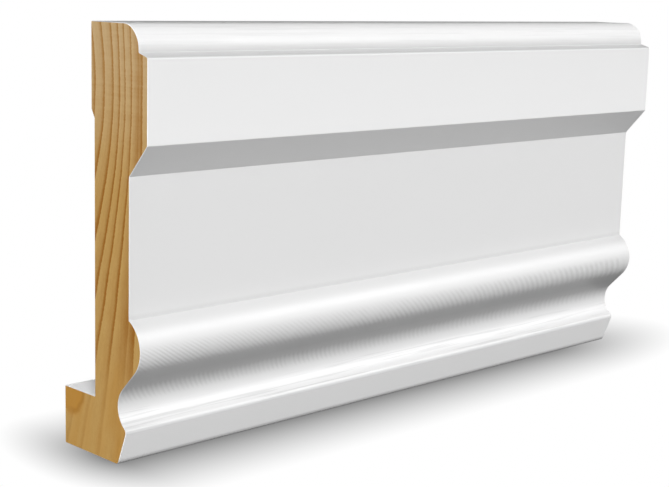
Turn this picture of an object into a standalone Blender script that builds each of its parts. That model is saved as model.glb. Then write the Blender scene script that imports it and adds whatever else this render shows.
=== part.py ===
"""Door casing: one length of a milled pine moulding, primed white, with both ends sawn square.

The profile is drawn as depth and height. Depth runs forwards from the wall plane, which the
back of the head lies against, and height runs up from the underside. The length lies along X,
the moulded face looks along -Y and Z is up. The origin is at the middle of the underside.
"""

import math

import bmesh
import bpy
from mathutils import Vector

MM = 0.001

# Whole length
LENGTH = 215.9 * MM
FACE_WIDTH = 114.3 * MM
FIELD_DEPTH = 16.25 * MM

# Round-over along the top edge, and the shoulder that falls from it to the head
SHOULDER_WIDTH = 3.5 * MM
ROUND_OVER = 6.35 * MM
QUIRK = 0.6 * MM
SHOULDER_FALL = 1.0 * MM

# Head, the thick band that a chamfer brings back to the flat field
HEAD_PROJECTION = 7.35 * MM
HEAD_FACE = 21.7 * MM
HEAD_ARRIS = 0.8 * MM
CHAMFER_HEIGHT = 8.35 * MM
CHAMFER_ARRIS = 0.4 * MM

# Bead, and the ogee under it that turns into a cove
BEAD_PROJECTION = 4.75 * MM
BEAD_RADIUS = 8.55 * MM
OGEE_ANGLE = math.radians(46.0)
COVE_SINK = 4.65 * MM
COVE_RADIUS = 6.85 * MM
COVE_HEIGHT = 15.85 * MM

# Foot, which leans forwards from the underside to its nose
FOOT_SETBACK = 4.75 * MM
FOOT_LEAN = math.radians(21.0)
NOSE_RADIUS = 1.4 * MM
FOOT_ARRIS = 1.2 * MM

# Back: a land that touches the wall, a relieved stretch below it, and the lip
BACK_LAND = 22.2 * MM
BACK_RELIEF = 1.3 * MM
RELIEF_RUN = 2.3 * MM
LIP_PROJECTION = 12.6 * MM
LIP_HEIGHT = 16.2 * MM

# How far a chord may stray from its arc, and how near two points are the same one
ARC_TOLERANCE = 0.005 * MM
WELD_DISTANCE = 0.001 * MM
SHARP_ANGLE = math.radians(20.0)

PRIMER_COLOUR = (0.86, 0.86, 0.88, 1.0)
PINE_COLOUR = (0.52, 0.32, 0.12, 1.0)


def arc(centre, start, end):
    """Points of the shorter arc about centre, from start to end, with both of them."""
    radius = (start - centre).length
    first = math.atan2(start.y - centre.y, start.x - centre.x)
    last = math.atan2(end.y - centre.y, end.x - centre.x)
    turn = (last - first + math.pi) % math.tau - math.pi
    largest_step = 2 * math.acos(1 - ARC_TOLERANCE / radius)
    steps = max(2, math.ceil(abs(turn) / largest_step))
    angles = [first + turn * i / steps for i in range(steps + 1)]
    return [centre + radius * Vector((math.cos(a), math.sin(a))) for a in angles]


def eased_corner(before, corner, after, radius):
    """Points of the arc that takes the place of a corner between two straight runs."""
    back = (before - corner).normalized()
    onward = (after - corner).normalized()
    half = back.angle(onward) / 2
    reach = radius / math.tan(half)
    centre = corner + (back + onward).normalized() * radius / math.sin(half)
    return arc(centre, corner + back * reach, corner + onward * reach)


def lower_point_at(distance, centre, point, direction):
    """The lower point at this distance from centre on the line that rises along direction."""
    nearest = point + direction * (centre - point).dot(direction)
    half_chord = math.sqrt(distance**2 - (centre - nearest).length_squared)
    return nearest - direction * half_chord


def back_outline():
    """Up the back, from the underside to the top edge."""
    relief_bottom = FACE_WIDTH - BACK_LAND - RELIEF_RUN
    return [
        Vector((-LIP_PROJECTION, 0)),
        Vector((-LIP_PROJECTION, LIP_HEIGHT)),
        Vector((BACK_RELIEF, LIP_HEIGHT)),
        Vector((BACK_RELIEF, relief_bottom)),
        Vector((0, FACE_WIDTH - BACK_LAND)),
        Vector((0, FACE_WIDTH)),
    ]


def head_outline():
    """Over the top edge and down the head to the foot of its chamfer."""
    head_depth = FIELD_DEPTH + HEAD_PROJECTION
    round_depth = head_depth - SHOULDER_WIDTH
    round_centre = Vector((round_depth - ROUND_OVER, FACE_WIDTH - ROUND_OVER))
    shoulder_top = Vector((round_depth, round_centre.y - QUIRK))
    head_top = Vector((head_depth, shoulder_top.y - SHOULDER_FALL))
    head_bottom = Vector((head_depth, head_top.y - HEAD_FACE))
    chamfer_foot = Vector((FIELD_DEPTH, head_bottom.y - CHAMFER_HEIGHT))
    points = arc(
        round_centre,
        round_centre + Vector((0, ROUND_OVER)),
        round_centre + Vector((ROUND_OVER, 0)),
    )
    points.append(shoulder_top)
    points += eased_corner(shoulder_top, head_top, head_bottom, HEAD_ARRIS)
    points += eased_corner(head_top, head_bottom, chamfer_foot, CHAMFER_ARRIS)
    points.append(chamfer_foot)
    return points


def foot_outline():
    """Round the bead, through the ogee and the cove, over the nose and down the foot."""
    outward = Vector((math.sin(OGEE_ANGLE), -math.cos(OGEE_ANGLE)))
    radii = BEAD_RADIUS + COVE_RADIUS
    bead_depth = FIELD_DEPTH + BEAD_PROJECTION - BEAD_RADIUS
    cove = Vector((FIELD_DEPTH - COVE_SINK + COVE_RADIUS, COVE_HEIGHT))
    straight = (radii * outward.x - (cove.x - bead_depth)) / math.cos(OGEE_ANGLE)
    bead = Vector((bead_depth, COVE_HEIGHT - radii * outward.y + straight * outward.x))
    field_rise = math.sqrt(BEAD_RADIUS**2 - (FIELD_DEPTH - bead.x) ** 2)

    foot = Vector((FIELD_DEPTH - FOOT_SETBACK, 0))
    lean = Vector((math.sin(FOOT_LEAN), math.cos(FOOT_LEAN)))
    forwards = Vector((lean.y, -lean.x))
    inset = foot - forwards * NOSE_RADIUS
    nose = lower_point_at(COVE_RADIUS + NOSE_RADIUS, cove, inset, lean)
    nose_top = nose + (cove - nose).normalized() * NOSE_RADIUS
    nose_bottom = nose + forwards * NOSE_RADIUS

    points = arc(bead, Vector((FIELD_DEPTH, bead.y + field_rise)), bead + outward * BEAD_RADIUS)
    points += arc(cove, cove - outward * COVE_RADIUS, nose_top)
    points += arc(nose, nose_top, nose_bottom)[1:]
    points += eased_corner(nose_bottom, foot, Vector((-LIP_PROJECTION, 0)), FOOT_ARRIS)
    return points


def make_material(name, colour, roughness):
    material = bpy.data.materials.new(name)
    material.use_nodes = True
    shader = material.node_tree.nodes["Principled BSDF"]
    shader.inputs["Base Color"].default_value = colour
    shader.inputs["Roughness"].default_value = roughness
    shader.inputs["Metallic"].default_value = 0.0
    material.diffuse_color = colour
    return material


def extruded_profile(name, outline, length):
    """The outline as a flat curve, extruded both ways from the middle of the length."""
    curve = bpy.data.curves.new(name, "CURVE")
    curve.dimensions = "2D"
    curve.fill_mode = "BOTH"
    curve.extrude = length / 2
    spline = curve.splines.new("POLY")
    spline.points.add(len(outline) - 1)
    for point, place in zip(spline.points, outline):
        point.co = (-place.x, place.y, 0, 1)
    spline.use_cyclic_u = True
    return bpy.data.objects.new(name, curve)


def as_solid(name, guide, collection):
    """A closed mesh object in the place of a curve object, which is removed."""
    bpy.context.view_layer.update()
    graph = bpy.context.evaluated_depsgraph_get()
    mesh = bpy.data.meshes.new_from_object(guide.evaluated_get(graph))
    mesh.name = name
    work = bmesh.new()
    work.from_mesh(mesh)
    bmesh.ops.remove_doubles(work, verts=work.verts, dist=WELD_DISTANCE)
    work.to_mesh(mesh)
    work.free()
    solid = bpy.data.objects.new(name, mesh)
    solid.matrix_world = guide.matrix_world
    collection.objects.link(solid)
    curve = guide.data
    bpy.data.objects.remove(guide)
    bpy.data.curves.remove(curve)
    return solid


def make_casing(collection):
    outline = back_outline() + head_outline() + foot_outline()
    guide = extruded_profile("casing_profile", outline, LENGTH)
    collection.objects.link(guide)
    guide.rotation_euler = (math.pi / 2, 0, math.pi / 2)
    guide.location.y = (FIELD_DEPTH + HEAD_PROJECTION - LIP_PROJECTION) / 2
    casing = as_solid("door_casing", guide, collection)
    mesh = casing.data
    mesh.materials.clear()
    mesh.materials.append(make_material("white_primer", PRIMER_COLOUR, 0.5))
    mesh.materials.append(make_material("bare_pine", PINE_COLOUR, 0.75))
    for face in mesh.polygons:
        face.material_index = int(abs(face.normal.z) > 0.5)
    mesh.shade_smooth()
    mesh.set_sharp_from_angle(angle=SHARP_ANGLE)
    return casing


def main():
    for old in list(bpy.data.objects):
        bpy.data.objects.remove(old)
    collection = bpy.data.collections.new("door_casing")
    bpy.context.scene.collection.children.link(collection)
    make_casing(collection)


main()
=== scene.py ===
"""A length of primed pine door casing on a white floor, laid out as an add-on and run as a script.

The section is drawn as depth and height in metres: depth runs forwards from the wall plane, which
the back of the head lies against, and height runs up from the underside. Materials work in
millimetres, from Object coordinates.
"""

import math
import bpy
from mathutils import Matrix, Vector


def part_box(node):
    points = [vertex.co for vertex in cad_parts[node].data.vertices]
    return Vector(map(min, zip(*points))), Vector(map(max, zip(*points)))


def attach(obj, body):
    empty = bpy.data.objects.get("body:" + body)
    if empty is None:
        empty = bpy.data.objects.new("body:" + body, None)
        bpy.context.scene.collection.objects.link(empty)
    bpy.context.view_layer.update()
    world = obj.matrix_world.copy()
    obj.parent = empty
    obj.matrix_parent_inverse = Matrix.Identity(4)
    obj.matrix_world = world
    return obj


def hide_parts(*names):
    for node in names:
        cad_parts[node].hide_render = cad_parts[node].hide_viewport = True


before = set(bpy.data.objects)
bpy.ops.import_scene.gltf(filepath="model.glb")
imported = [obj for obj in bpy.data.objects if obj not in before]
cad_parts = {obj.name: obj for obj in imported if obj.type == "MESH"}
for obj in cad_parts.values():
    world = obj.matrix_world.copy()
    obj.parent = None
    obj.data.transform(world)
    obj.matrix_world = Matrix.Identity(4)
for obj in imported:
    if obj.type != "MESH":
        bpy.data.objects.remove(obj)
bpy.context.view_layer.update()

from types import SimpleNamespace

import bmesh
import bpy
from bpy.props import FloatProperty, FloatVectorProperty, PointerProperty
from mathutils import Matrix, Vector

bl_info = {
    "name": "Primed Door Casing",
    "version": (1, 0, 0),
    "blender": (4, 5, 0),
    "location": "3D View > Sidebar > Casing",
    "description": "Moulds a length of primed pine door casing and sets it in a white studio",
    "category": "Object",
}

NODE = "door_casing"
BODY = "root"
CASING = "casing"
LOW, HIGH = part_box(NODE)

MM = 0.001
IN_MM = 1000.0

# The section grows from the middle of a plane this wide, and points this near each other are merged
SECTION_START = 0.2 * MM
WELD_DISTANCE = 0.002 * MM
SMOOTH_ANGLE = math.radians(30)

# Sockets of the Mix node that carry colours
MIX_FIRST, MIX_SECOND, MIX_RESULT = 6, 7, 2


def size_property(name, description, default):
    return FloatProperty(
        name=name, description=description, default=default, unit="LENGTH", precision=5
    )


def angle_property(name, description, degrees):
    return FloatProperty(
        name=name, description=description, default=math.radians(degrees), subtype="ANGLE"
    )


def share_property(name, description, default):
    return FloatProperty(name=name, description=description, default=default, min=0.0)


def colour_property(name, description, default):
    return FloatVectorProperty(
        name=name, description=description, default=default, subtype="COLOR", size=3, min=0, max=1
    )


class CasingSection(bpy.types.PropertyGroup):
    """Sizes of the milled section"""

    length: size_property("Length", "Between the sawn ends", HIGH.x - LOW.x)
    face_width: size_property("Face width", "Underside to top edge", HIGH.z - LOW.z)
    field_depth: size_property("Field depth", "Wall plane to the flat field", 16.25 * MM)
    shoulder_width: size_property("Shoulder width", "Round-over to head face", 3.5 * MM)
    round_over: size_property("Round-over", "Radius along the top edge", 6.35 * MM)
    quirk: size_property("Quirk", "Straight run under the round-over", 0.6 * MM)
    shoulder_fall: size_property("Shoulder fall", "Drop of the shoulder to the head", 1.0 * MM)
    head_projection: size_property("Head projection", "Head in front of the field", 7.35 * MM)
    head_face: size_property("Head face", "Height of the head's flat face", 21.7 * MM)
    head_arris: size_property("Head arris", "Radius over the head's top edge", 0.8 * MM)
    chamfer_height: size_property("Chamfer height", "Head face down to the field", 8.35 * MM)
    chamfer_arris: size_property("Chamfer arris", "Radius at the chamfer's top", 0.4 * MM)
    bead_projection: size_property("Bead projection", "Bead in front of the field", 4.75 * MM)
    bead_radius: size_property("Bead radius", "Radius of the bead", 8.55 * MM)
    ogee_angle: angle_property("Ogee angle", "Slope of the run between bead and cove", 46.0)
    cove_sink: size_property("Cove sink", "Cove's throat behind the field", 4.65 * MM)
    cove_radius: size_property("Cove radius", "Radius of the cove", 6.85 * MM)
    cove_height: size_property("Cove height", "Throat above the underside", 15.85 * MM)
    foot_setback: size_property("Foot setback", "Foot's bottom edge behind the field", 4.75 * MM)
    foot_lean: angle_property("Foot lean", "Forward lean of the foot's front", 21.0)
    nose_radius: size_property("Nose radius", "Radius of the nose under the cove", 1.4 * MM)
    foot_arris: size_property("Foot arris", "Radius at the foot's bottom edge", 1.2 * MM)
    back_land: size_property("Back land", "Height of the face on the wall", 22.2 * MM)
    back_relief: size_property("Back relief", "Depth that the back is relieved", 1.3 * MM)
    relief_run: size_property("Relief run", "Height of the slope into the relief", 2.3 * MM)
    lip_projection: size_property("Lip projection", "Lip behind the wall plane", 12.6 * MM)
    lip_height: size_property("Lip height", "Thickness of the lip", 16.2 * MM)
    plain_arris: size_property("Plain arris", "Radius of the edges at the back", 0.25 * MM)
    inner_arris: size_property("Inner arris", "Radius in the corners of the face", 0.2 * MM)
    saw_rim: size_property("Saw rim", "Width broken off round the sawn ends", 0.12 * MM)
    arc_step: angle_property("Arc step", "Largest turn between two points of an arc", 3.0)


class PrimerFinish(bpy.types.PropertyGroup):
    """Look of the factory primer"""

    # The primer's own colour, and the grey it is mixed towards where shade is painted into it
    primer_colour: colour_property("Unshaded primer", "Primer where no shade is painted", (1.0, 1.0, 1.0))
    painted_shade_colour: colour_property("Painted shade", "Primer under the fullest painted shade", (0.50, 0.50, 0.50))
    ripple_pitch: share_property("Ripple pitch", "Millimetres between ripples at mid length", 2.2)
    ripple_depth: share_property("Ripple depth", "Millimetres of relief in the ripples", 0.07)
    roughness: share_property("Roughness", "Mean roughness of the primer", 0.42)


class PineFinish(bpy.types.PropertyGroup):
    """Look of the bare end grain"""

    early_top: colour_property("Earlywood, head", "Pale wood in the head", (0.615, 0.435, 0.225))
    early_foot: colour_property("Earlywood, foot", "Pale wood in the foot", (0.57, 0.35, 0.112))
    late_top: colour_property("Latewood, head", "Dark lines in the head", (0.43, 0.215, 0.055))
    late_foot: colour_property("Latewood, foot", "Dark lines in the foot", (0.335, 0.13, 0.014))
    knot: colour_property("Knot", "Orange of the knot and the foot's bands", (0.53, 0.26, 0.045))
    roughness: share_property("Roughness", "Roughness between the rings' dark lines", 0.74)


class StudioSettings(bpy.types.PropertyGroup):
    """Camera, lights and floor"""

    camera_place: FloatVectorProperty(
        name="Camera place", description="Where the camera stands", subtype="TRANSLATION",
        size=3, default=(-0.3209, -0.2999, 0.1253), precision=4,
    )
    camera_heading: angle_property("Camera heading", "Turn from looking along +Y", -44.64)
    camera_pitch: angle_property("Camera pitch", "Tilt above the level", -10.27)
    camera_roll: angle_property("Camera roll", "Turn about the line of sight", 1.59)
    camera_lens: FloatProperty(
        name="Camera lens", description="Focal length", default=77.29, unit="CAMERA"
    )
    key_azimuth: angle_property("Key azimuth", "Turn of the main light towards the left end", -30)
    key_elevation: angle_property("Key elevation", "Height of the main light", 36)
    key_light: share_property("Key light", "Strength of the main light", 2.78)
    side_azimuth: angle_property("Side azimuth", "Turn of the light on the left end", -90)
    side_light: share_property("Side light", "Strength of the light on the left end", 2.0)
    back_azimuth: angle_property("Back azimuth", "Turn of the light from behind", 160)
    back_elevation: angle_property("Back elevation", "Height of the light from behind", 3)
    back_light: share_property("Back light", "Strength of the light from behind", 3.0)
    gloss_azimuth: angle_property("Gloss azimuth", "Turn of the light seen as gloss", 45)
    gloss_elevation: angle_property("Gloss elevation", "Height of the light seen as gloss", 28)
    gloss_light: share_property("Gloss light", "Strength of the light seen as gloss alone", 1.6)
    light_spread: angle_property("Light spread", "Softness of the lights on the casing", 25)
    fill_power: FloatProperty(
        name="Fill power", description="Power of the long strip in front", default=0.10, unit="POWER"
    )
    fill_gap: size_property("Fill gap", "From the face to the strip", 90 * MM)
    fill_level: share_property("Fill level", "Height of the strip, as a share of the casing's", 0.4)
    fill_length: size_property("Fill length", "Length of the strip", 800 * MM)
    fill_height: size_property("Fill height", "Height of the strip's face", 30 * MM)
    shade_front: size_property("Shade in front", "Reach of the floor's shade forwards", 36.3 * MM)
    shade_back: size_property("Shade behind", "Reach of the floor's shade backwards", 46 * MM)
    shade_left: size_property("Shade to the left", "Reach of the shade at the left end", 23.5 * MM)
    shade_right: size_property("Shade to the right", "Reach of the shade at the right end", 74.3 * MM)
    left_inset: size_property("Left inset", "From the left end to where its shade starts", 3.6 * MM)
    right_inset: size_property("Right inset", "From the right end to where its shade starts", 31.2 * MM)
    shade_depth: share_property("Shade depth", "How dark the floor's shade gets", 0.90)
    shade_falloff: share_property("Shade falloff", "How fast the shade fades at its start", 1.24)
    ambient: share_property("Ambient", "Strength of the light from all round", 0.115)
    floor_reach: size_property("Floor reach", "Radius of the floor", 6.0)
    floor_gap: size_property("Floor gap", "From the underside down to the floor", 0.05 * MM)


# The section, as straight runs and arcs


def towards(angle):
    """The way that an angle above the depth's direction points, one unit long."""
    return Vector((math.cos(angle), math.sin(angle)))


def eased(before, corner, after, radius):
    """Strokes that replace a corner between two straight runs with an arc."""
    back = (before - corner).normalized()
    onward = (after - corner).normalized()
    half = back.angle(onward) / 2
    reach = radius / math.tan(half)
    centre = corner + (back + onward).normalized() * radius / math.sin(half)
    return [("line", corner + back * reach), ("arc", centre, corner + onward * reach)]


def back_strokes(s):
    """From the underside up the lip, the relieved back and the land to the top edge."""
    top_edge = Vector((0, s.face_width))
    corners = [
        Vector((0, 0)),
        Vector((-s.lip_projection, 0)),
        Vector((-s.lip_projection, s.lip_height)),
        Vector((s.back_relief, s.lip_height)),
        Vector((s.back_relief, s.face_width - s.back_land - s.relief_run)),
        Vector((0, s.face_width - s.back_land)),
        top_edge,
        top_edge + Vector((s.round_over, 0)),
    ]
    strokes = []
    for before, corner, after in zip(corners, corners[1:], corners[2:]):
        strokes += eased(before, corner, after, s.plain_arris)
    return strokes


def head_strokes(s):
    """Over the round-over and shoulder and down the head to the foot of its chamfer."""
    head_depth = s.field_depth + s.head_projection
    round_depth = head_depth - s.shoulder_width
    centre = Vector((round_depth - s.round_over, s.face_width - s.round_over))
    quirk_top = centre + Vector((s.round_over, 0))
    shoulder = Vector((round_depth, centre.y - s.quirk))
    head_top = Vector((head_depth, shoulder.y - s.shoulder_fall))
    head_bottom = Vector((head_depth, head_top.y - s.head_face))
    chamfer_foot = Vector((s.field_depth, head_bottom.y - s.chamfer_height))
    return [
        ("line", centre + Vector((0, s.round_over))),
        ("arc", centre, quirk_top),
        *eased(quirk_top, shoulder, head_top, s.inner_arris),
        *eased(shoulder, head_top, head_bottom, s.head_arris),
        *eased(head_top, head_bottom, chamfer_foot, s.chamfer_arris),
        *eased(head_bottom, chamfer_foot, Vector((s.field_depth, 0)), s.inner_arris),
    ]


def cove_centre(s):
    """The middle of the cove's arc, which stands in front of its throat."""
    return Vector((s.field_depth - s.cove_sink + s.cove_radius, s.cove_height))


def ogee_way(s):
    """Direction square to the ogee's slope, from the bead's centre out through its surface."""
    return Vector((math.sin(s.ogee_angle), -math.cos(s.ogee_angle)))


def bead_centre(s):
    """The cove's place and the ogee's slope fix how high the bead stands."""
    cove, outward = cove_centre(s), ogee_way(s)
    radii = s.bead_radius + s.cove_radius
    depth = s.field_depth + s.bead_projection - s.bead_radius
    straight = (radii * outward.x - (cove.x - depth)) / math.cos(s.ogee_angle)
    return Vector((depth, cove.y - radii * outward.y + straight * outward.x))


def face_heights(s):
    """Heights of the face's landmarks above the underside, in millimetres."""
    fall = math.cos(s.ogee_angle)
    bead = bead_centre(s).y
    head_bottom = s.face_width - s.round_over - s.quirk - s.shoulder_fall - s.head_face
    heights = {
        "lip_top": s.lip_height,
        "nose": s.cove_height - s.cove_radius,
        "throat": s.cove_height,
        "cove_top": s.cove_height + s.cove_radius * fall,
        "bead_bottom": bead - s.bead_radius * fall,
        "bead": bead,
        "bead_top": bead + s.bead_radius,
        "chamfer_foot": head_bottom - s.chamfer_height,
        "head_bottom": head_bottom,
        "head_top": head_bottom + s.head_face,
        "round_bottom": s.face_width - s.round_over,
        "top": s.face_width,
    }
    return SimpleNamespace(**{name: height * IN_MM for name, height in heights.items()})


def foot_strokes(s):
    """Round the bead, through the ogee and cove, over the nose and down the foot."""
    cove, bead, outward = cove_centre(s), bead_centre(s), ogee_way(s)
    field_rise = math.sqrt(s.bead_radius**2 - (s.field_depth - bead.x) ** 2)

    foot = Vector((s.field_depth - s.foot_setback, 0))
    lean = towards(math.pi / 2 - s.foot_lean)
    forwards = Vector((lean.y, -lean.x))
    inset = foot - forwards * s.nose_radius
    nearest = inset + lean * (cove - inset).dot(lean)
    reach = s.cove_radius + s.nose_radius
    nose = nearest - lean * math.sqrt(reach**2 - (cove - nearest).length_squared)
    nose_top = nose + (cove - nose).normalized() * s.nose_radius
    nose_bottom = nose + forwards * s.nose_radius
    return [
        ("line", Vector((s.field_depth, bead.y + field_rise))),
        ("arc", bead, bead + outward * s.bead_radius),
        ("line", cove - outward * s.cove_radius),
        ("arc", cove, nose_top),
        ("arc", nose, nose_bottom),
        *eased(nose_bottom, foot, Vector((0, 0)), s.foot_arris),
    ]


# Modelling with operators


def only_object_mode():
    """Leaves edit mode and deselects everything, so that the next operator acts on its own piece."""
    if bpy.context.mode != "OBJECT":
        bpy.ops.object.mode_set(mode="OBJECT")
    bpy.ops.object.select_all(action="DESELECT")


def section_place(point, x):
    """A point of the section in the row frame, where the wall plane is off the origin."""
    wall_plane = HIGH.y - bpy.context.scene.casing_section.lip_projection
    return Vector((x, wall_plane - point.x, point.y))


def draw_line(pen, end):
    """Extrudes the newest vertex from the pen to the end of a straight run."""
    step = section_place(end, 0) - section_place(pen, 0)
    bpy.ops.mesh.extrude_region_move(TRANSFORM_OT_translate={"value": step})


def draw_arc(pen, centre, end, x, largest_step):
    """Spins the newest vertex about the arc's middle, the shorter way round."""
    first = math.atan2(pen.y - centre.y, pen.x - centre.x)
    last = math.atan2(end.y - centre.y, end.x - centre.x)
    turn = (last - first + math.pi) % math.tau - math.pi
    steps = max(3, math.ceil(abs(turn) / largest_step))
    bpy.ops.mesh.spin(steps=steps, angle=turn, center=section_place(centre, x), axis=(1, 0, 0))


def draw_section(strokes, x, largest_step):
    """Draws the closed section from one vertex, by extruding and spinning its newest vertex."""
    pen = Vector((0, 0))
    bpy.ops.mesh.primitive_plane_add(size=SECTION_START, location=section_place(pen, x))
    casing = bpy.context.object
    bpy.ops.object.transform_apply(location=True, rotation=True, scale=True)
    bpy.ops.object.mode_set(mode="EDIT")
    bpy.ops.mesh.select_mode(type="VERT")
    bpy.ops.mesh.select_all(action="SELECT")
    bpy.ops.mesh.merge(type="CENTER")
    for stroke in strokes:
        end = stroke[-1]
        if stroke[0] == "arc":
            draw_arc(pen, stroke[1], end, x, largest_step)
        else:
            draw_line(pen, end)
        pen = end
    bpy.ops.mesh.select_all(action="SELECT")
    bpy.ops.mesh.remove_doubles(threshold=WELD_DISTANCE)
    bpy.ops.mesh.edge_face_add()
    return casing


def select_faces(mesh_object, wanted):
    """Selects the faces that a test on their middle and normal picks, in edit mode."""
    bpy.ops.mesh.select_mode(type="FACE")
    bpy.ops.mesh.select_all(action="DESELECT")
    work = bmesh.from_edit_mesh(mesh_object.data)
    for face in work.faces:
        face.select_set(wanted(face.calc_center_median(), face.normal))
    work.select_flush_mode()
    bmesh.update_edit_mesh(mesh_object.data)


def saw_ends(casing, rim):
    """Breaks the edge round each sawn end by the rim."""
    for side in (-1, 1):
        select_faces(casing, lambda middle, normal: side * normal.x > 0.9)
        bpy.ops.mesh.inset(thickness=rim, depth=rim, use_even_offset=True)


class CASING_OT_mould(bpy.types.Operator):
    """Draw the section, run it along the length, break the sawn edges and give both finishes"""

    bl_idname = "casing.mould"
    bl_label = "Mould the casing"
    bl_options = {"REGISTER", "UNDO"}

    def execute(self, context):
        s = context.scene.casing_section
        only_object_mode()
        body_half = s.length / 2 - s.saw_rim
        strokes = back_strokes(s) + head_strokes(s) + foot_strokes(s) + [("line", Vector((0, 0)))]
        casing = draw_section(strokes, -body_half, s.arc_step)
        casing.name = casing.data.name = CASING
        bpy.ops.mesh.extrude_region_move(TRANSFORM_OT_translate={"value": (2 * body_half, 0, 0)})
        bpy.ops.mesh.select_all(action="SELECT")
        bpy.ops.mesh.normals_make_consistent(inside=False)
        saw_ends(casing, s.saw_rim)
        casing.data.materials.append(primer_material(context.scene))
        casing.data.materials.append(pine_material(context.scene))
        end_reach = s.length / 2 - s.saw_rim / 2
        select_faces(casing, lambda middle, normal: abs(middle.x) > end_reach)
        context.object.active_material_index = 1
        bpy.ops.object.material_slot_assign()
        bpy.ops.object.mode_set(mode="OBJECT")
        bpy.ops.object.shade_smooth_by_angle(angle=SMOOTH_ANGLE)
        weighted = casing.modifiers.new("Flat faces stay flat", "WEIGHTED_NORMAL")
        weighted.keep_sharp = True
        bpy.ops.object.modifier_apply(modifier=weighted.name)
        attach(casing, BODY)
        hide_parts(NODE)
        return {"FINISHED"}


# Nodes


def new_group(name, inputs, outputs):
    """An empty shader node group with named sockets. A float input comes with its default."""
    tree = bpy.data.node_groups.new(name, "ShaderNodeTree")
    for socket, default in inputs.items():
        kind = "NodeSocketVector" if default is None else "NodeSocketFloat"
        made = tree.interface.new_socket(socket, in_out="INPUT", socket_type=kind)
        if default is not None:
            made.default_value = default
    for socket in outputs:
        tree.interface.new_socket(socket, in_out="OUTPUT", socket_type="NodeSocketFloat")
    return tree, tree.nodes.new("NodeGroupInput").outputs, tree.nodes.new("NodeGroupOutput").inputs


def connect(tree, value, socket):
    """Links an output to the socket, or sets the socket to a plain value."""
    if isinstance(value, bpy.types.NodeSocket):
        tree.links.new(value, socket)
    else:
        socket.default_value = value


def maths(tree, operation, *values, clamp=False):
    """The result of a Math node, kept from 0 to 1 if it is clamped."""
    node = tree.nodes.new("ShaderNodeMath")
    node.operation = operation
    node.use_clamp = clamp
    for value, socket in zip(values, node.inputs):
        connect(tree, value, socket)
    return node.outputs[0]


def vector_maths(tree, operation, *values):
    node = tree.nodes.new("ShaderNodeVectorMath")
    node.operation = operation
    for value, socket in zip(values, node.inputs):
        connect(tree, value, socket)
    return node.outputs[0]


def split(tree, vector):
    node = tree.nodes.new("ShaderNodeSeparateXYZ")
    connect(tree, vector, node.inputs[0])
    return node.outputs


def noise(tree, vector, scale, detail=2.0, roughness=0.5):
    """Noise centred on zero, from about -0.5 to 0.5."""
    node = tree.nodes.new("ShaderNodeTexNoise")
    connect(tree, vector, node.inputs["Vector"])
    node.inputs["Scale"].default_value = scale
    node.inputs["Detail"].default_value = detail
    node.inputs["Roughness"].default_value = roughness
    return maths(tree, "SUBTRACT", node.outputs["Fac"], 0.5)


def fade(tree, value, start, end):
    """A smooth 0 to 1 as the value goes from start to end."""
    node = tree.nodes.new("ShaderNodeMapRange")
    node.interpolation_type = "SMOOTHSTEP"
    connect(tree, value, node.inputs["Value"])
    connect(tree, start, node.inputs["From Min"])
    connect(tree, end, node.inputs["From Max"])
    return node.outputs["Result"]


def mixed(tree, share, first, second):
    """The first colour where the share is 0, and the second where it is 1."""
    node = tree.nodes.new("ShaderNodeMix")
    node.data_type = "RGBA"
    connect(tree, share, node.inputs["Factor"])
    connect(tree, first, node.inputs[MIX_FIRST])
    connect(tree, second, node.inputs[MIX_SECOND])
    return node.outputs[MIX_RESULT]


def colour4(colour):
    return (*colour, 1.0)


def group_node(tree, group, **values):
    """Outputs of a group placed in the tree, with its inputs fed by name."""
    node = tree.nodes.new("ShaderNodeGroup")
    node.node_tree = group
    for name, value in values.items():
        connect(tree, value, node.inputs[name])
    return node.outputs


def between(tree, value, low, high, soft):
    """1 inside a span and 0 outside it, with soft ends."""
    rise = fade(tree, value, low - soft, low + soft)
    fall = fade(tree, value, high + soft, high - soft)
    return maths(tree, "MULTIPLY", rise, fall)


def ramp(tree, value, stops):
    """A value that runs straight from stop to stop, each of them a place and what it gives there."""
    first, last = stops[0][0], stops[-1][0]
    node = tree.nodes.new("ShaderNodeValToRGB")
    share = maths(tree, "DIVIDE", maths(tree, "SUBTRACT", value, first), last - first)
    connect(tree, share, node.inputs["Fac"])
    elements = node.color_ramp.elements
    elements.remove(elements[-1])
    elements[0].color = colour4((stops[0][1],) * 3)
    for place, given in stops[1:]:
        elements.new((place - first) / (last - first)).color = colour4((given,) * 3)
    as_value = tree.nodes.new("ShaderNodeRGBToBW")
    connect(tree, node.outputs["Color"], as_value.inputs[0])
    return as_value.outputs[0]


def on_face(tree, y):
    """1 on the moulded face and 0 on the back, as the depth in millimetres tells."""
    return fade(tree, y, 2.0, -2.0)


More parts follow.
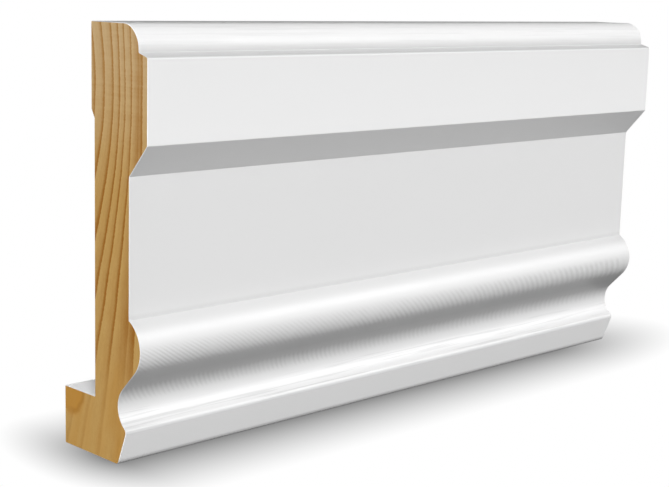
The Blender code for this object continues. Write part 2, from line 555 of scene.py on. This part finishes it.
def painted_shade(h):
    """Painted shade on the primer, from 0 on the foot to 1 along the top edge's back.

    It darkens the colour where light would fall less: a line along the bottom edge, the cove,
    ogee, bead and field more than the head, which has little of it, the ogee under the bead the
    most of the moulded face, a strip under the round-over, the top edge towards its back and its
    left end, and the top of the lip behind the wall. The back is a little darker all over.
    """
    tree, given, made = new_group("Painted shade", {"Place": None}, ["Thinness"])
    x, y, z = split(tree, given["Place"])
    # How much darker the back is all over, and how much painted shadow lies on the top of the lip
    back_darkening, lip_shadow = 0.15, 0.62
    top_front, top_rise, top_change = 0.3, 0.7, -0.0015
    # Painted shade up the moulded face: a dark line at the bottom edge, a greyer cove, ogee, bead and
    # field than head, and a grey strip under the round-over
    up_the_face = ramp(tree, z, [
        (0.0, 1.0), (0.9, 0.7), (1.5, 0.0),
        (h.nose - 0.4, 0.0), (h.nose + 0.2, 0.48), (h.throat, 0.50),
        (h.cove_top, 0.79), (h.cove_top + 2.6, 0.84), (h.bead_bottom - 1.0, 0.73),
        (h.bead_bottom + 0.5, 0.60), (h.bead - 3.7, 0.46), (h.bead, 0.43), (h.bead + 2.1, 0.42),
        (h.bead + 4.0, 0.52), (h.bead_top - 1.6, 0.62), (h.bead_top - 0.3, 0.60),
        (h.bead_top + 0.6, 0.45),
        (h.chamfer_foot - 0.2, 0.45), (h.chamfer_foot + 0.2, 0.22),
        (h.head_bottom, 0.20), (h.head_bottom + 0.5, 0.14),
        (h.head_top - 0.6, 0.08), (h.head_top - 0.2, 0.60), (h.round_bottom - 0.6, 0.60),
        (h.round_bottom, 0.36), (h.top - 3.7, 0.36), (h.top - 2.3, 0.0), (h.top, 0.0),
    ])
    in_front = maths(tree, "MULTIPLY", up_the_face, on_face(tree, y))
    behind = maths(tree, "MULTIPLY", fade(tree, y, -2.0, 2.0), back_darkening)
    # Painted shade on the top edge, darker at its back and towards the left end
    top_shade = maths(tree, "MULTIPLY_ADD", fade(tree, y, -9.0, 1.0), top_rise, top_front)
    top_shade = maths(tree, "MULTIPLY_ADD", x, top_change, top_shade)
    on_top = maths(tree, "MULTIPLY", top_shade, fade(tree, z, h.top - 0.25, h.top - 0.02))
    # Painted shadow on the top of the lip, behind the casing's wall
    by_lip = between(tree, z, h.lip_top - 0.2, h.lip_top + 0.2, 0.1)
    by_lip = maths(tree, "MULTIPLY", by_lip, lip_shadow)
    on_lip = maths(tree, "MULTIPLY", by_lip, fade(tree, y, 2.0, 4.0))
    on_faces = maths(tree, "MAXIMUM", maths(tree, "ADD", in_front, behind), on_top)
    connect(tree, maths(tree, "MAXIMUM", on_faces, on_lip), made["Thinness"])
    return tree


def knife_ripples(h):
    """Slanting ripples from the moulder's knives, under the bead and over the cove.

    They lie closest and flattest at the left end, and stand up towards the right end and in the cove.
    Besides their relief, they give painted shade along their crests, which darkens the primer's colour.
    """
    tree, given, made = new_group(
        "Knife ripples", {"Place": None, "Pitch": 2.2, "Depth": 0.07}, ["Crest", "Height"]
    )
    x, y, z = split(tree, given["Place"])
    opening, middle_slant, slant_change, cove_bend = -0.0016, 0.52, -0.0041, -0.5
    closeness = maths(tree, "MULTIPLY_ADD", x, opening, 1.0)
    along = maths(tree, "DIVIDE", maths(tree, "MULTIPLY", x, closeness), given["Pitch"])
    slant = maths(tree, "MULTIPLY_ADD", x, slant_change, middle_slant)
    above = maths(tree, "SUBTRACT", z, h.bead)
    in_cove = maths(tree, "MINIMUM", maths(tree, "SUBTRACT", z, h.cove_top + 1.0), 0.0)
    bent = maths(tree, "MULTIPLY_ADD", in_cove, cove_bend, above)
    up = maths(tree, "MULTIPLY", bent, slant)
    drift = maths(tree, "MULTIPLY", noise(tree, given["Place"], 0.05, 1.0), 0.7)
    turns = maths(tree, "ADD", maths(tree, "ADD", along, up), drift)
    swing = maths(tree, "SINE", maths(tree, "MULTIPLY", turns, math.tau))
    under_bead = between(tree, z, h.bead_bottom + 0.5, h.bead + 0.8, 1.2)
    left_part = maths(tree, "MULTIPLY_ADD", fade(tree, x, -10.0, -60.0), 0.85, 0.3)
    over_cove = maths(tree, "MULTIPLY", between(tree, z, h.throat + 0.8, h.cove_top, 0.8), left_part)
    patch = fade(tree, noise(tree, given["Place"], 0.14, 2.0), -0.3, 0.05)
    where = maths(tree, "MULTIPLY", maths(tree, "MAXIMUM", under_bead, over_cove), patch)
    deeper = maths(tree, "MULTIPLY_ADD", fade(tree, x, -60.0, 90.0), 1.6, 0.85)
    amount = maths(tree, "MULTIPLY", maths(tree, "MULTIPLY", where, deeper), on_face(tree, y))
    ripple = maths(tree, "MULTIPLY", swing, amount)
    # Painted shade along the ripples' crests, for the primer's colour
    half_amount = maths(tree, "MULTIPLY", amount, 0.5)
    connect(tree, maths(tree, "MULTIPLY_ADD", ripple, 0.5, half_amount), made["Crest"])
    half_depth = maths(tree, "MULTIPLY", given["Depth"], 0.5)
    connect(tree, maths(tree, "MULTIPLY", ripple, half_depth), made["Height"])
    return tree


def knife_lines(h):
    """Fine lines along the run, from nicks in the knives, above the nose and on the round-over."""
    tree, given, made = new_group("Knife lines", {"Place": None}, ["Lines", "Height"])
    _, y, z = split(tree, given["Place"])
    drawn_out = vector_maths(tree, "MULTIPLY", given["Place"], (0.02, 1.0, 1.0))
    lines = noise(tree, drawn_out, 1.1, 2.0, 0.6)
    over_nose = between(tree, z, h.nose + 0.2, h.nose + 5.6, 0.6)
    on_top = maths(tree, "MULTIPLY", between(tree, z, h.round_bottom + 0.6, h.top - 0.3, 0.6), 0.4)
    where = maths(tree, "MAXIMUM", over_nose, on_top)
    amount = maths(tree, "MULTIPLY", where, on_face(tree, y))
    connect(tree, maths(tree, "MULTIPLY", fade(tree, lines, 0.03, 0.12), amount), made["Lines"])
    relief = maths(tree, "MULTIPLY", lines, 0.05)
    connect(tree, maths(tree, "MULTIPLY", relief, amount), made["Height"])
    return tree


def ring_stops():
    """Places and darkness across the year rings, in millimetres at the head."""
    edges = (-3.4, 0.75, 4.75, 8.5, 11.2, 13.45, 16.1, 20.4, 25.0)
    faint_edge, faint_dark = 19.1, 0.75
    soft = 0.1
    stops = []
    for start, end in zip(edges, edges[1:]):
        stops += [(start + soft, 0.0), (start + 0.7 * (end - start), 0.27), (end - soft, 1.0)]
    stops += [(faint_edge - soft, faint_dark), (faint_edge + soft, 0.45)]
    return sorted(stops)


def growth_rings(s):
    """Year rings on the sawn ends, upright in the head and leaning below, and how dark they are."""
    tree, given, made = new_group(
        "Growth rings", {"Place": None, "Wobble": 1.0}, ["Latewood", "Across"]
    )
    _, y, z = split(tree, given["Place"])
    wobble = maths(tree, "MULTIPLY", noise(tree, given["Place"], 0.055, 2.0), given["Wobble"])
    wobble = maths(tree, "MULTIPLY_ADD", noise(tree, given["Place"], 1.5, 2.0), 0.55, wobble)
    relieved_back = section_place(Vector((s.back_relief, 0)), 0).y * IN_MM
    depth = maths(tree, "ADD", maths(tree, "SUBTRACT", relieved_back, y), wobble)
    upright, bend, lean_rate, fan, fan_middle = 99.0, 32.0, 0.2, 0.14, 16.0
    below = maths(tree, "SUBTRACT", upright, z)
    bow = maths(tree, "SQRT", maths(tree, "MULTIPLY_ADD", below, below, bend**2))
    lean = maths(tree, "MULTIPLY", maths(tree, "SUBTRACT", bow, bend), lean_rate)
    leant = maths(tree, "MULTIPLY_ADD", lean, 1 + fan_middle * fan, depth)
    across = maths(tree, "DIVIDE", leant, maths(tree, "MULTIPLY_ADD", lean, fan, 1.0))
    connect(tree, ramp(tree, across, ring_stops()), made["Latewood"])
    connect(tree, across, made["Across"])
    return tree


def small_knot():
    """A knot at the top of the lip: an orange patch with a dark rim along its lower edge."""
    tree, given, made = new_group("Small knot", {"Place": None}, ["Patch", "Rim"])
    _, y, z = split(tree, given["Place"])
    middle_y, middle_z, half_width, half_height = 15.4, 16.0, 5.6, 6.2
    ripple = maths(tree, "MULTIPLY", noise(tree, given["Place"], 0.35, 2.0), 0.35)
    across = maths(tree, "DIVIDE", maths(tree, "SUBTRACT", y, middle_y), half_width)
    up = maths(tree, "DIVIDE", maths(tree, "SUBTRACT", z, middle_z), half_height)
    squares = maths(tree, "ADD", maths(tree, "POWER", across, 2.0), maths(tree, "POWER", up, 2.0))
    distance = maths(tree, "ADD", maths(tree, "SQRT", squares), ripple)
    connect(tree, fade(tree, distance, 1.35, 0.8), made["Patch"])
    rim = maths(tree, "MULTIPLY", fade(tree, distance, 0.76, 0.98), fade(tree, distance, 1.22, 1.0))
    lower = fade(tree, across, 0.2, -0.3)
    lower_most = maths(tree, "MULTIPLY_ADD", lower, 0.6, 0.4)
    connect(tree, maths(tree, "MULTIPLY", rim, lower_most), made["Rim"])
    return tree


def new_material(name, roughness):
    """A material with its shader, its place in millimetres and a bump node that feeds the normal."""
    material = bpy.data.materials.new(name)
    material.use_nodes = True
    tree = material.node_tree
    shader = tree.nodes["Principled BSDF"]
    shader.inputs["Roughness"].default_value = roughness
    shader.inputs["Metallic"].default_value = 0.0
    coordinates = tree.nodes.new("ShaderNodeTexCoord")
    place = vector_maths(tree, "MULTIPLY", coordinates.outputs["Object"], (IN_MM,) * 3)
    bump = tree.nodes.new("ShaderNodeBump")
    bump.inputs["Distance"].default_value = MM
    tree.links.new(bump.outputs["Normal"], shader.inputs["Normal"])
    return material, tree, shader, place, bump


def primer_material(scene):
    """White factory primer with the marks of the knives in it, and shade painted into its colour."""
    finish = scene.primer_finish
    heights = face_heights(scene.casing_section)
    mottle_amount, ripple_shade_amount, marks_and_shade_tone, peel_height = 0.07, 0.32, 0.86, 0.003
    material, tree, shader, place, bump = new_material("white_primer", finish.roughness)
    # The primer's colour is mixed towards grey where shade is painted in
    painted_shade_amount = group_node(tree, painted_shade(heights), Place=place)["Thinness"]
    coat = mixed(tree, painted_shade_amount, colour4(finish.primer_colour), colour4(finish.painted_shade_colour))
    lines = group_node(tree, knife_lines(heights), Place=place)
    mottle = noise(tree, place, 0.05, 3.0)
    mottle = maths(tree, "MULTIPLY_ADD", mottle, mottle_amount, mottle_amount)
    ripples = group_node(
        tree, knife_ripples(heights), Place=place, Pitch=finish.ripple_pitch, Depth=finish.ripple_depth
    )
    # Darker in the mottle and the knife lines, which the primer has, and along the ripples, where shade
    # is painted
    marks_and_ripple_shade = maths(tree, "MAXIMUM", mottle, lines["Lines"])
    marks_and_ripple_shade = maths(tree, "MULTIPLY_ADD", ripples["Crest"], ripple_shade_amount, marks_and_ripple_shade)
    darker = vector_maths(tree, "MULTIPLY", coat, (marks_and_shade_tone,) * 3)
    connect(tree, mixed(tree, marks_and_ripple_shade, coat, darker), shader.inputs["Base Color"])
    peel = maths(tree, "MULTIPLY", noise(tree, place, 0.8, 2.0), peel_height)
    relief = maths(tree, "ADD", maths(tree, "ADD", ripples["Height"], lines["Height"]), peel)
    connect(tree, relief, bump.inputs["Height"])
    gloss = maths(tree, "MULTIPLY_ADD", noise(tree, place, 0.09, 3.0), 0.10, finish.roughness)
    connect(tree, gloss, shader.inputs["Roughness"])
    return material


def pine_material(scene):
    """Bare pine across the grain, as the saw leaves it."""
    finish = scene.pine_finish
    contrast, quieting = 1.15, 0.84
    streak_share, saw_share, pore_share, fleck_share = 0.5, 0.5, 0.35, 0.25
    warm_share, patch_share, rim_share = 0.6, 0.9, 0.4
    material, tree, shader, place, bump = new_material("bare_pine", finish.roughness)
    _, y, z = split(tree, place)
    rings = group_node(tree, growth_rings(scene.casing_section), Place=place)
    knot = group_node(tree, small_knot(), Place=place)

    # Streaks and broad bands that follow the rings, level marks of the saw, and pores
    joined = tree.nodes.new("ShaderNodeCombineXYZ")
    connect(tree, rings["Across"], joined.inputs["X"])
    connect(tree, maths(tree, "MULTIPLY", z, 0.07), joined.inputs["Y"])
    streaks = noise(tree, joined.outputs[0], 1.7, 3.0, 0.6)
    bands = noise(tree, joined.outputs[0], 0.3, 2.0)
    saw = noise(tree, vector_maths(tree, "MULTIPLY", place, (0.0, 0.04, 1.0)), 0.9, 3.0, 0.6)
    saw = maths(tree, "MULTIPLY", saw, fade(tree, z, 72.0, 98.0))
    pores = noise(tree, vector_maths(tree, "MULTIPLY", place, (1.0, 1.0, 0.4)), 3.2, 2.0, 0.7)
    flecks = fade(tree, noise(tree, place, 1.1, 1.0), 0.24, 0.34)

    # The rings are fainter in the lip and towards the foot, which has orange bands instead
    lip = fade(tree, y, 4.0, 7.0)
    low = fade(tree, z, 44.0, 6.0)
    quiet = maths(tree, "MULTIPLY", maths(tree, "MAXIMUM", lip, low), quieting)
    strength = maths(tree, "SUBTRACT", contrast, quiet)
    latewood = maths(tree, "MULTIPLY", rings["Latewood"], strength)
    latewood = maths(tree, "MULTIPLY_ADD", streaks, streak_share, latewood)
    latewood = maths(tree, "MULTIPLY_ADD", saw, saw_share, latewood)
    latewood = maths(tree, "MULTIPLY_ADD", pores, pore_share, latewood)
    latewood = maths(tree, "MULTIPLY_ADD", flecks, fleck_share, latewood, clamp=True)

    blotch = maths(tree, "MULTIPLY", noise(tree, place, 0.12, 2.0), 0.35)
    height = maths(tree, "ADD", fade(tree, z, 66.0, 112.0), blotch, clamp=True)
    early = mixed(tree, height, colour4(finish.early_foot), colour4(finish.early_top))
    late = mixed(tree, height, colour4(finish.late_foot), colour4(finish.late_top))
    wood = mixed(tree, latewood, early, late)
    warm = maths(tree, "MULTIPLY", fade(tree, z, 34.0, 14.0), fade(tree, bands, -0.12, 0.2))
    for amount, share, colour in (
        (warm, warm_share, finish.knot),
        (knot["Patch"], patch_share, finish.knot),
        (knot["Rim"], rim_share, finish.late_foot),
    ):
        wood = mixed(tree, maths(tree, "MULTIPLY", amount, share), wood, colour4(colour))
    connect(tree, wood, shader.inputs["Base Color"])
    shader.inputs["Specular IOR Level"].default_value = 0.2
    relief = maths(tree, "MULTIPLY_ADD", pores, 0.03, maths(tree, "MULTIPLY", rings["Latewood"], 0.02))
    connect(tree, maths(tree, "MULTIPLY_ADD", saw, 0.03, relief), bump.inputs["Height"])
    gloss = maths(tree, "MULTIPLY_ADD", rings["Latewood"], -0.12, finish.roughness)
    connect(tree, gloss, shader.inputs["Roughness"])
    return material


# Studio


def fill_strip(studio, lit):
    """A long slim soft box close in front, for the faces that look down."""
    place = (0, LOW.y - studio.fill_gap, HIGH.z * studio.fill_level)
    bpy.ops.object.light_add(type="AREA", location=place)
    lamp = bpy.context.object
    lamp.name = lamp.data.name = "fill_strip"
    lamp.data.shape = "RECTANGLE"
    lamp.data.size, lamp.data.size_y = studio.fill_length, studio.fill_height
    lamp.data.energy = studio.fill_power
    lamp.rotation_euler = Vector((0, -1, 0)).to_track_quat("Z", "Y").to_euler()
    lamp.visible_camera = False
    lamp.light_linking.receiver_collection = lit


def light_group(name, members):
    """A collection that lights are linked to, so that they light its members alone."""
    group = bpy.data.collections.new(name)
    for member in members:
        group.objects.link(member)
    return group


def soft_light(name, azimuth, elevation, strength, spread, lit):
    """A far light that stays even along the length. Azimuth 0 is in front, -90 at the left end."""
    bpy.ops.object.light_add(type="SUN")
    lamp = bpy.context.object
    lamp.name = lamp.data.name = name
    lamp.data.energy = strength
    lamp.data.angle = spread
    source_way = Vector((
        math.sin(azimuth) * math.cos(elevation),
        -math.cos(azimuth) * math.cos(elevation),
        math.sin(elevation),
    ))
    lamp.rotation_euler = source_way.to_track_quat("Z", "Y").to_euler()
    lamp.light_linking.receiver_collection = lit


def past(tree, value, start, reach):
    """0 at the start and 1 at the reach beyond it, both in metres. A reach below 0 runs back."""
    return maths(tree, "DIVIDE", maths(tree, "SUBTRACT", value, start * IN_MM), reach * IN_MM)


def contact_shade(studio):
    """Painted shadow on a white sheet round the foot, darkest along a line under the casing.

    It fades out furthest to the right and behind, away from the main light.
    """
    tree, given, made = new_group("Contact shade", {"Place": None}, ["Brightness"])
    x, y, _ = split(tree, given["Place"])
    left = past(tree, x, LOW.x + studio.left_inset, -studio.shade_left)
    right = past(tree, x, HIGH.x - studio.right_inset, studio.shade_right)
    aside = maths(tree, "MAXIMUM", maths(tree, "MAXIMUM", left, right), 0.0)
    middle = (LOW.y + HIGH.y) / 2
    front = past(tree, y, middle, -studio.shade_front)
    back = past(tree, y, middle, studio.shade_back)
    ahead = maths(tree, "MAXIMUM", front, back)
    squares = maths(tree, "MULTIPLY_ADD", aside, aside, maths(tree, "MULTIPLY", ahead, ahead))
    away = maths(tree, "SQRT", squares, clamp=True)
    nearness = maths(tree, "SUBTRACT", 1.0, away)
    shade = maths(tree, "POWER", nearness, studio.shade_falloff)
    brightness = maths(tree, "MULTIPLY_ADD", shade, -studio.shade_depth, 1.0)
    connect(tree, brightness, made["Brightness"])
    return tree


def white_floor(studio):
    """A white sheet that glows evenly up to its painted soft shadow, and lends the casing no light.

    It lies a hair under the casing and is clear from below, so that the underside can be seen.
    """
    bpy.ops.mesh.primitive_circle_add(
        vertices=96, radius=studio.floor_reach, fill_type="NGON",
        location=(0, 0, LOW.z - studio.floor_gap),
    )
    floor = bpy.context.object
    floor.name = floor.data.name = "floor"
    material, tree, shader, place, bump = new_material("white_floor", 1.0)
    tree.nodes.remove(bump)
    shader.inputs["Base Color"].default_value = (0, 0, 0, 1)
    shader.inputs["Specular IOR Level"].default_value = 0.0
    shader.inputs["Emission Strength"].default_value = 1.0
    # The floor's glow carries the painted shadow round the foot
    shade = group_node(tree, contact_shade(studio), Place=place)
    connect(tree, shade["Brightness"], shader.inputs["Emission Color"])
    side = tree.nodes.new("ShaderNodeNewGeometry")
    from_above = maths(tree, "SUBTRACT", 1.0, side.outputs["Backfacing"])
    connect(tree, from_above, shader.inputs["Alpha"])
    floor.data.materials.append(material)
    floor.visible_diffuse = False
    floor.visible_glossy = False


def set_world(scene, ambient):
    """Even dim light from all round, with plain white behind the floor's edge."""
    world = bpy.data.worlds.new("studio")
    world.use_nodes = True
    scene.world = world
    tree = world.node_tree
    light = tree.nodes["Background"]
    light.inputs["Color"].default_value = (1.0, 1.0, 1.0, 1)
    light.inputs["Strength"].default_value = ambient
    seen = tree.nodes.new("ShaderNodeBackground")
    seen.inputs["Color"].default_value = (1.0, 1.0, 1.0, 1)
    path = tree.nodes.new("ShaderNodeLightPath")
    choice = tree.nodes.new("ShaderNodeMixShader")
    tree.links.new(path.outputs["Is Camera Ray"], choice.inputs[0])
    tree.links.new(light.outputs[0], choice.inputs[1])
    tree.links.new(seen.outputs[0], choice.inputs[2])
    tree.links.new(choice.outputs[0], tree.nodes["World Output"].inputs["Surface"])


class CASING_OT_studio(bpy.types.Operator):
    """Lay the white floor and set the lights and the camera"""

    bl_idname = "casing.studio"
    bl_label = "Set the studio"
    bl_options = {"REGISTER", "UNDO"}

    def execute(self, context):
        studio = context.scene.casing_studio
        only_object_mode()
        casing = bpy.data.objects.get(CASING)
        if casing is None:
            raise RuntimeError("The casing has to be moulded before the studio is set")
        on_casing = light_group("lit casing", [casing])
        spread = studio.light_spread
        for name, azimuth, elevation, strength in (
            ("key_light", studio.key_azimuth, studio.key_elevation, studio.key_light),
            ("side_light", studio.side_azimuth, 0, studio.side_light),
            ("back_light", studio.back_azimuth, studio.back_elevation, studio.back_light),
            ("gloss_light", studio.gloss_azimuth, studio.gloss_elevation, studio.gloss_light),
        ):
            soft_light(name, azimuth, elevation, strength, spread, on_casing)
        bpy.data.objects["gloss_light"].visible_diffuse = False
        fill_strip(studio, on_casing)
        white_floor(studio)
        set_world(context.scene, studio.ambient)
        bpy.ops.object.camera_add()
        camera = context.object
        camera.name = camera.data.name = "camera"
        camera.data.lens = studio.camera_lens
        camera.data.clip_start = 0.01
        camera.matrix_world = (
            Matrix.Translation(studio.camera_place)
            @ Matrix.Rotation(studio.camera_heading, 4, "Z")
            @ Matrix.Rotation(math.pi / 2 + studio.camera_pitch, 4, "X")
            @ Matrix.Rotation(studio.camera_roll, 4, "Z")
        )
        context.scene.camera = camera
        context.scene.view_settings.view_transform = "Standard"
        return {"FINISHED"}


class CASING_PT_panel(bpy.types.Panel):
    """Sizes, finishes and the operators that build with them"""

    bl_label = "Door casing"
    bl_idname = "CASING_PT_panel"
    bl_space_type = "VIEW_3D"
    bl_region_type = "UI"
    bl_category = "Casing"

    def draw(self, context):
        for title, group in (
            ("Section", context.scene.casing_section),
            ("Primer", context.scene.primer_finish),
            ("Bare pine", context.scene.pine_finish),
            ("Studio", context.scene.casing_studio),
        ):
            box = self.layout.box()
            box.label(text=title)
            for name in group.__annotations__:
                box.prop(group, name)
        self.layout.operator(CASING_OT_mould.bl_idname)
        self.layout.operator(CASING_OT_studio.bl_idname)


CLASSES = (
    CasingSection,
    PrimerFinish,
    PineFinish,
    StudioSettings,
    CASING_OT_mould,
    CASING_OT_studio,
    CASING_PT_panel,
)


def register():
    for each in CLASSES:
        bpy.utils.register_class(each)
    bpy.types.Scene.casing_section = PointerProperty(type=CasingSection)
    bpy.types.Scene.primer_finish = PointerProperty(type=PrimerFinish)
    bpy.types.Scene.pine_finish = PointerProperty(type=PineFinish)
    bpy.types.Scene.casing_studio = PointerProperty(type=StudioSettings)


def unregister():
    del bpy.types.Scene.casing_section
    del bpy.types.Scene.primer_finish
    del bpy.types.Scene.pine_finish
    del bpy.types.Scene.casing_studio
    for each in reversed(CLASSES):
        bpy.utils.unregister_class(each)


def main():
    register()
    bpy.ops.casing.mould()
    bpy.ops.casing.studio()


if __name__ == "__main__":
    main()
